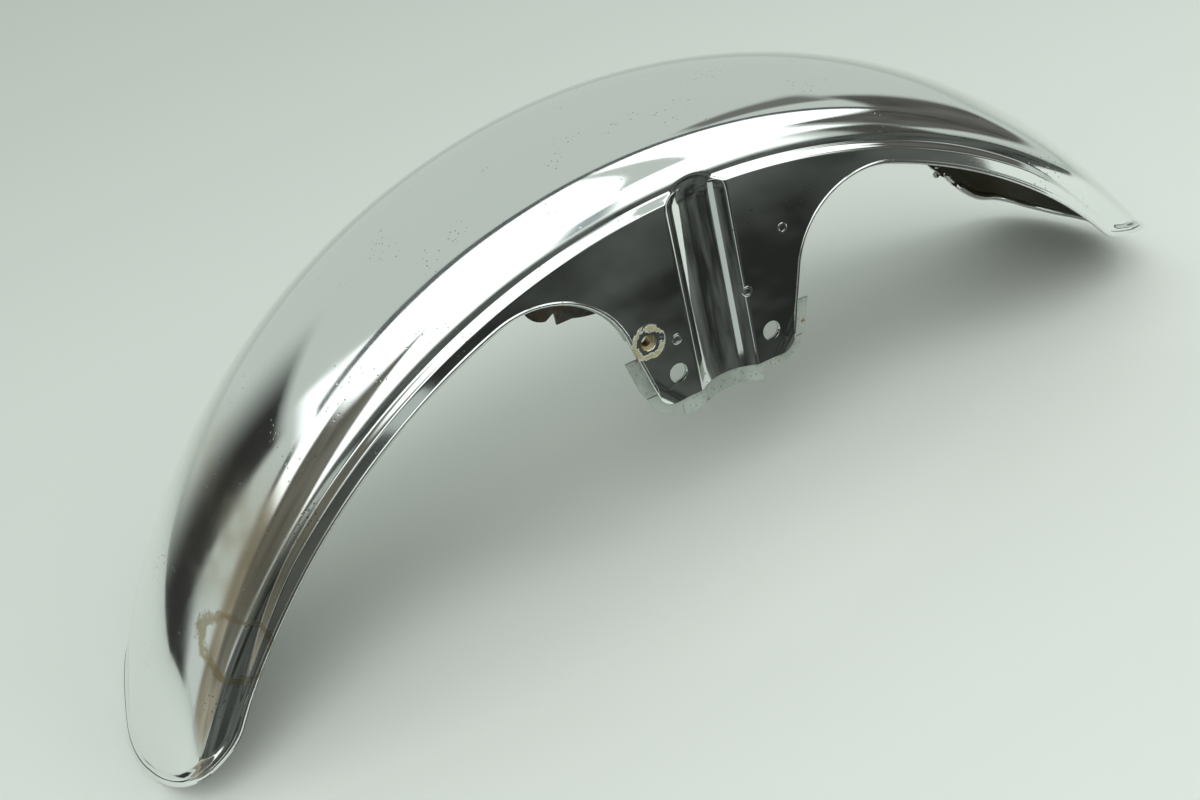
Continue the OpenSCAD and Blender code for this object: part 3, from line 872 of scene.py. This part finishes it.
zincLook = {
    "zinc": (0.55, 0.40, 0.20, 1),
    "grime": (0.09, 0.06, 0.035, 1),
    "pitColor": (0.75, 0.70, 0.60, 1),
    "rough": (0.22, 0.3),
    "metallic": 0.9,
    "grainHeight": 0.0001,
}


def makeZinc(look):
    material, tree = newMaterial("yellowZinc")
    at = objectPlace(tree)
    clouds = useGroup(tree, patchGroup, Vector=at, Scale=240.0)
    pits = useGroup(tree, speckGroup, Vector=at, Size=0.3, Amount=0.8)
    color = mixColor(tree, clouds["Mask"], look["zinc"], look["grime"])
    color = mixColor(tree, pits["Mask"], color, look["pitColor"])
    least, more = look["rough"]
    rough = plus(tree, least, times(tree, clouds["Fine"], more))
    height = times(tree, clouds["Fine"], look["grainHeight"])
    finishSurface(tree, color, rough, look["metallic"], height, 0.8)
    return material


chrome, innerSteel = makeChrome(chromeLook), makeInner(innerLook)
# the left stiffener gets a darkened copy of the right one's steel and rust: painted shade
nearSteel = makeDull("dullSteelRight", dullLook, dullLook["steel"], dullLook["rust"], 0.62)
shadedFarSteel = makeDull("dullSteelLeftShaded", dullLook, dullLook["shadedFarSteel"], dullLook["shadedFarRust"], 0.52)
zinc = makeZinc(zincLook)

shellPiece.data.materials.append(chrome)
shellPiece.data.materials.append(innerSteel)
for roll in (rearRoll, frontRoll):
    roll.data.materials.append(chrome)
for piece in (shellPiece, rearRoll, frontRoll):
    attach(piece, "root")
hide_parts("mudguard")

for node, material in (("stiffener_right", nearSteel), ("stiffener_left", shadedFarSteel),
                       ("stay_nut", zinc)):
    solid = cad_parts[node]
    solid.data.materials.clear()
    solid.data.materials.append(material)
print("materials placed")


# Floor, light and camera
stage = {
    "floorTilt": 3.1,
    "floorPoint": (-0.3, 0.068, -0.1046),
    "floorHalf": 12,
    "floorColor": (0.80, 0.825, 0.795, 1),
    "roomColor": (0.86, 0.95, 0.88, 1),
    "roomLight": 0.62,
    "windowColor": (0.95, 1.0, 0.97, 1),
    "windowLight": 1.35,
    "cardLift": 0.003,          # of the cards that lie along the floor
    "cameraPlace": (-0.28352, -0.55128, 0.32949),
    "cameraRight": (0.8612, -0.4641, -0.2073),
    "cameraUp": (0.3922, 0.3472, 0.8519),
    "lens": 46.65,
}

side = stage["floorHalf"]
floorMesh = bpy.data.meshes.new("floor")
floorMesh.from_pydata([(-side, -side, 0), (side, -side, 0), (side, side, 0), (-side, side, 0)],
                      [], [(0, 1, 2, 3)])
floor = newObject("floor", floorMesh)
floor.location = stage["floorPoint"]
floor.rotation_euler = (0, -np.radians(stage["floorTilt"]), 0)
floorMaterial, tree = newMaterial("paleFloor")
shader = addNode(tree, "BsdfPrincipled", {"Base Color": stage["floorColor"], "Roughness": 0.7})
tree.links.new(shader.outputs[0], addNode(tree, "OutputMaterial").inputs[0])
floorMesh.materials.append(floorMaterial)

world = bpy.data.worlds.new("studio")
bpy.context.scene.world = world
world.use_nodes = True
background = world.node_tree.nodes["Background"]
background.inputs[0].default_value = stage["roomColor"]
background.inputs[1].default_value = stage["roomLight"]


def floorHeight(x):
    run = x - stage["floorPoint"][0]
    return (stage["floorPoint"][2] + run * np.tan(np.radians(stage["floorTilt"]))
            + stage["cardLift"])


def areaLight(name, place, target, size, power):
    # a window's light; the cards below stand for how it looks in the chrome
    data = bpy.data.lights.new(name, "AREA")
    data.shape = "RECTANGLE"
    data.size, data.size_y = size
    data.energy = power
    lamp = newObject(name, data)
    lamp.location = place
    lamp.rotation_euler = (Vector(place) - Vector(target)).to_track_quat("Z", "Y").to_euler()
    lamp.visible_glossy = False


def reflectedCard(name, corners, color, strength, fade=None, uneven=0.0, patchScale=2.0):
    # a card that only shows as a reflection in the chrome; corners is a grid of points
    index = np.arange(corners.shape[0] * corners.shape[1]).reshape(corners.shape[:2])
    mesh = bpy.data.meshes.new(name)
    mesh.from_pydata(corners.reshape(-1, 3).tolist(), [],
                     gridFaces(index).reshape(-1, 4).tolist())
    if fade is not None:
        values = mesh.attributes.new("fade", "FLOAT", "POINT").data
        values.foreach_set("value", fade.ravel().astype(np.float32))
    card = newObject(name, mesh)
    card.visible_camera = card.visible_diffuse = False
    card.visible_shadow = card.visible_transmission = False
    material, tree = newMaterial(name)
    glow = addNode(tree, "Emission", {"Color": color, "Strength": strength})
    if uneven:
        # a room isn't one flat tone: patches from (1 - uneven) to (1 + uneven) of the strength
        patches = addNode(tree, "TexNoise", {"Vector": objectPlace(tree), "Scale": patchScale,
                                             "Detail": 4.0, "Roughness": 0.6})
        level = addNode(tree, "MapRange", {"Value": patches.outputs["Fac"], "From Min": 0.35,
                                           "From Max": 0.65, "To Min": strength * (1 - uneven),
                                           "To Max": strength * (1 + uneven)})
        tree.links.new(level.outputs[0], glow.inputs["Strength"])
    surface = glow
    if fade is not None:
        clear = addNode(tree, "BsdfTransparent")
        covered = addNode(tree, "Attribute", attribute_name="fade")
        surface = addNode(tree, "MixShader", {0: covered.outputs["Fac"], 1: clear.outputs[0],
                                              2: glow.outputs[0]})
    tree.links.new(surface.outputs[0], addNode(tree, "OutputMaterial").inputs[0])
    mesh.materials.append(material)


def skyCard(name, azimuth, elevation, color, strength, soft, distance=3.0, uneven=0.0):
    # part of a sphere: azimuth in degrees from -Y toward +X, elevation above the horizon; its
    # edges fade out over the soft widths: low azimuth, high azimuth, elevation
    low, high, rise = soft
    u, v = np.linspace(*azimuth, 41)[:, None], np.linspace(*elevation, 31)[None, :]
    a, e = np.radians(u), np.radians(v)
    points = distance * np.stack([np.cos(e) * np.sin(a), -np.cos(e) * np.cos(a),
                                  np.sin(e) * np.ones_like(a)], -1)
    fade = (smoothStep(0, low, u - azimuth[0]) * smoothStep(0, high, azimuth[1] - u)
            * smoothStep(0, rise, v - elevation[0]) * smoothStep(0, rise, elevation[1] - v))
    reflectedCard(name, points, color, strength, fade, uneven)


def ceilingCard(name, left, right, color, strength, height):
    # a flat card overhead between two lines of places
    corners = np.stack([np.array(left), np.array(right)], axis=1)
    level = np.full(corners.shape[:2] + (1,), height)
    reflectedCard(name, np.concatenate([corners, level], -1), color, strength)


areaLight("windowLeft", (-0.75, -1.05, 1.25), (-0.1, 0.0, 0.05), (1.15, 1.3), 11.0)
areaLight("windowRight", (1.05, -0.75, 1.05), (0.05, 0.0, 0.05), (0.75, 1.3), 6.5)

# wide windows on the side of the viewer with a narrow post between them, and a beam behind
window = (stage["windowColor"], stage["windowLight"])
ceilingCard("windowWide", [(-2.9, 1.0), (-1.2, 0.61), (-0.3, 0.40), (0.16, 0.30)],
            [(-2.03, -1.17), (-1.17, -2.03), (0.0, -2.35), (0.73, -2.23)], *window, 1.3)
ceilingCard("windowNarrow", [(0.19, 0.295), (0.9, 0.11), (1.6, -0.08), (2.2, -0.24)],
            [(1.14, -2.05), (1.45, -1.85), (1.66, -1.66), (2.03, -1.17)], *window, 1.3)
ceilingCard("darkBeam", [(-2.6, 1.12), (0.0, 0.42), (0.8, 0.22), (2.2, 0.0)],
            [(-2.6, 0.98), (0.0, 0.315), (0.8, 0.10), (2.2, -0.26)],
            (0.80, 0.92, 0.90, 1), 0.13, 1.28)

# a dark card along the floor in front, seen only in the chrome: painted reflection that makes the
# upright plates and the band mirror dark where they would mirror the pale floor; its near edge is
# bent, which shapes where the dark part of the reflection ends
cardX = np.array([-1.4, -0.5, -0.3, -0.22, -0.12, -0.03, 0.05, 0.12, 0.2, 0.26, 0.32, 0.5, 1.8])
nearY = np.array([-0.02, -0.02, -0.025, -0.03, -0.06, -0.095, -0.07, -0.03, -0.03, -0.10, -0.22,
                  -0.25, -0.4])
farX, farY = cardX * 1.3, np.full(len(cardX), -2.5)
reflectedCard("darkFront", np.stack([np.stack([cardX, nearY, floorHeight(cardX)], -1),
                                     np.stack([farX, farY, floorHeight(farX)], -1)], axis=1),
              (0.82, 0.90, 0.82, 1), 0.095, uneven=0.75, patchScale=6.0)
# a pale strip that lies just above it, also seen only in the chrome: a painted reflection of a pale
# band
stripX = np.array([[-0.035, -0.36], [-0.060, -0.55]])
stripY = np.array([[-0.135, -1.13], [-0.130, -1.08]])
stripZ = floorHeight(stripX) + stage["cardLift"]
reflectedCard("paleStrip", np.stack([stripX, stripY, stripZ], -1), (0.9, 1.0, 0.95, 1), 0.5)

# the rest of the room all round: bright windows, and dark and brown parts between them
skyCard("windowLow", (-32, 38), (1, 33), *window, (3, 3, 2))
skyCard("windowSide", (34, 47), (13, 34), *window, (2, 2, 3))
skyCard("windowRear", (-131, -105), (33, 66), *window, (3, 3, 4), 2.0)
skyCard("greyPost", (11, 19), (2, 17), (0.85, 1.0, 1.0, 1), 0.38, (3, 3, 3), 2.0)
skyCard("darkLow", (-62, 62), (-24, 1.5), (0.80, 0.88, 0.85, 1), 0.12, (6, 6, 2), 2.5, 0.4)
skyCard("darkFrontLow", (39, 51), (-13, 16), (0.95, 0.95, 0.85, 1), 0.07, (3, 3, 4), 2.0, 0.4)
skyCard("darkFrontSide", (47, 120), (7, 35), (0.95, 0.95, 0.85, 1), 0.10, (5, 5, 3), 1.8, 0.4)
skyCard("darkFrontHigh", (109, 126), (31, 62), (0.95, 0.98, 0.90, 1), 0.17, (5, 5, 6), 1.7)
skyCard("brownHigh", (-98, -29), (0, 48), (1.0, 0.98, 0.80, 1), 0.12, (4, 4, 6), 1.15, 0.4)
skyCard("brownLow", (-114, -57), (-8, 30), (1.0, 0.93, 0.70, 1), 0.25, (5, 5, 5), 1.2, 0.4)
skyCard("darkRear", (-156, -122), (-25, 32), (0.9, 0.9, 0.85, 1), 0.035, (22, 3, 4), 1.6)

cameraData = bpy.data.cameras.new("camera")
cameraData.lens = stage["lens"]
cameraData.sensor_width = 36.0
cameraData.clip_start = 0.01
camera = newObject("camera", cameraData)
right, up = Vector(stage["cameraRight"]), Vector(stage["cameraUp"])
turned = Matrix((right, up, right.cross(up))).transposed().to_4x4()
camera.matrix_world = Matrix.Translation(stage["cameraPlace"]) @ turned
bpy.context.scene.camera = camera
bpy.context.scene.view_settings.view_transform = "Standard"
print("stage set")
